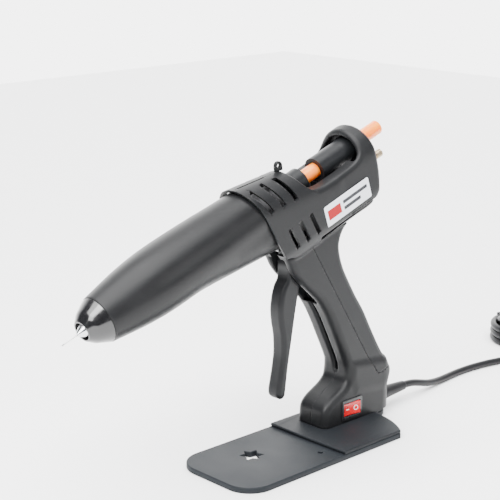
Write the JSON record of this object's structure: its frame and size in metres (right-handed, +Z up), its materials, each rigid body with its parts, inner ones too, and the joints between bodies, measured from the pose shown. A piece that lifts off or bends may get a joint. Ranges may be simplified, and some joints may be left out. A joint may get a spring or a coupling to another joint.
{
  "type": "glue gun",
  "caption": "Industrial hot-melt glue gun with a long insulated barrel, full-length trigger and stick feed, standing nose down on its own bench stand.",
  "frame": {"origin": "underside of the bench stand, in the plane where the gun's two shells meet", "axes": "+X rearwards along the stand, nozzle towards -X; +Y towards the gun's right side; +Z up"},
  "size_m": [0.7948, 0.1517, 0.3239],
  "materials": {
    "shell_plastic": "fine satin moulded grain",
    "barrel_plastic": "satin, heat resistant, fine grain",
    "grip_plastic": "satin moulded grain",
    "boot_gloss": "smooth gloss",
    "stand_coat": "fine textured coat",
    "pad_coat": "satin",
    "label_white": "satin film",
    "nozzle_steel": "turned and polished",
    "chamber_alloy": "cast",
    "heater_ceramic": "ceramic, matt",
    "thermostat_body": "matt",
    "spacer_board": "heat resistant board",
    "inner_black": "moulded, satin",
    "lead_sleeve": "woven glass sleeve",
    "rod_steel": "ground",
    "zinc_steel": "zinc plated",
    "adjuster_brass": "nickel washed, knurled",
    "glue_amber": "waxy, translucent",
    "trigger_plastic": "satin",
    "rocker_red": "gloss",
    "bezel_black": "semi gloss",
    "board_green": "solder mask",
    "component_grey": "moulded",
    "terminal_white": "moulded",
    "terminal_brass": "stamped",
    "cord_rubber": "satin",
    "tie_strap": "satin",
    "pin_nickel": "plated"
  },
  "bodies": {
    "root": {"stand_plate": "stand_coat", "stand_pad": "pad_coat", "stand_screws": "zinc_steel", "left_shell": "shell_plastic", "right_shell": "shell_plastic", "shell_screws": "zinc_steel", "grip_cover": "grip_plastic", "label_plate": "label_white", "suspension_eye": "shell_plastic", "barrel_cover": "barrel_plastic", "nozzle_boot": "boot_gloss", "nozzle": "nozzle_steel", "nozzle_needle": "nozzle_steel", "melt_chamber": "chamber_alloy", "heater_cartridges": "heater_ceramic", "thermostat": "thermostat_body", "front_spacer": "spacer_board", "rear_spacer": "spacer_board", "inlet_sleeve": "inner_black", "guide_rods": "rod_steel", "lead_bundle": "lead_sleeve", "adjuster_nut": "zinc_steel", "trigger_pin": "rod_steel", "trigger_spring": "rod_steel", "switch_bezel": "bezel_black", "switch_terminals": "terminal_brass", "control_board": "board_green", "board_parts": "component_grey", "terminal_block": "terminal_white", "cord_clamp": "inner_black", "strain_relief": "cord_rubber", "cord": "cord_rubber", "cord_coil": "cord_rubber", "coil_tie": "tie_strap", "plug_body": "cord_rubber", "plug_pins": "pin_nickel"},
    "trigger": {"trigger": "trigger_plastic", "drive_pin": "rod_steel"},
    "carriage": {"feed_carriage": "inner_black", "clamp_jaw": "rod_steel", "jaw_pin": "rod_steel", "drive_links": "zinc_steel", "link_pin": "rod_steel"},
    "stick": {"glue_stick": "glue_amber"},
    "adjuster": {"stroke_adjuster": "adjuster_brass", "adjuster_knob": "adjuster_brass"},
    "rocker": {"switch_rocker": "rocker_red"}
  },
  "joints": [
    {"name": "trigger_pull", "type": "hinge", "parent": "root", "child": "trigger", "pos_m": [0.00499, 0, 0.19996], "axis": [0, -1, 0], "range_deg": [0, 26], "stiffness_Nm_per_rad": 0.5, "springref_deg": -20.05},
    {"name": "carriage_slide", "type": "slide", "parent": "root", "child": "carriage", "axis": [-0.9426, 0, -0.3338], "range_m": [0, 0.018]},
    {"name": "stick_feed", "type": "slide", "parent": "root", "child": "stick", "axis": [-0.9426, 0, -0.3338], "range_m": [0, 0.018]},
    {"name": "adjuster_turn", "type": "hinge", "parent": "root", "child": "adjuster", "pos_m": [0.10402, 0, 0.27799], "axis": [0.9426, 0, 0.3338], "continuous": true},
    {"name": "switch_rock", "type": "hinge", "parent": "root", "child": "rocker", "pos_m": [0.0744, -0.0162, 0.0241], "axis": [0, 0, 1], "range_deg": [0, 12]}
  ],
  "couplings": [
    {"joint": "carriage_slide", "follows": "trigger_pull", "m_per_rad": 0.0396},
    {"joint": "stick_feed", "follows": "trigger_pull", "m_per_rad": 0.0396}
  ]
}
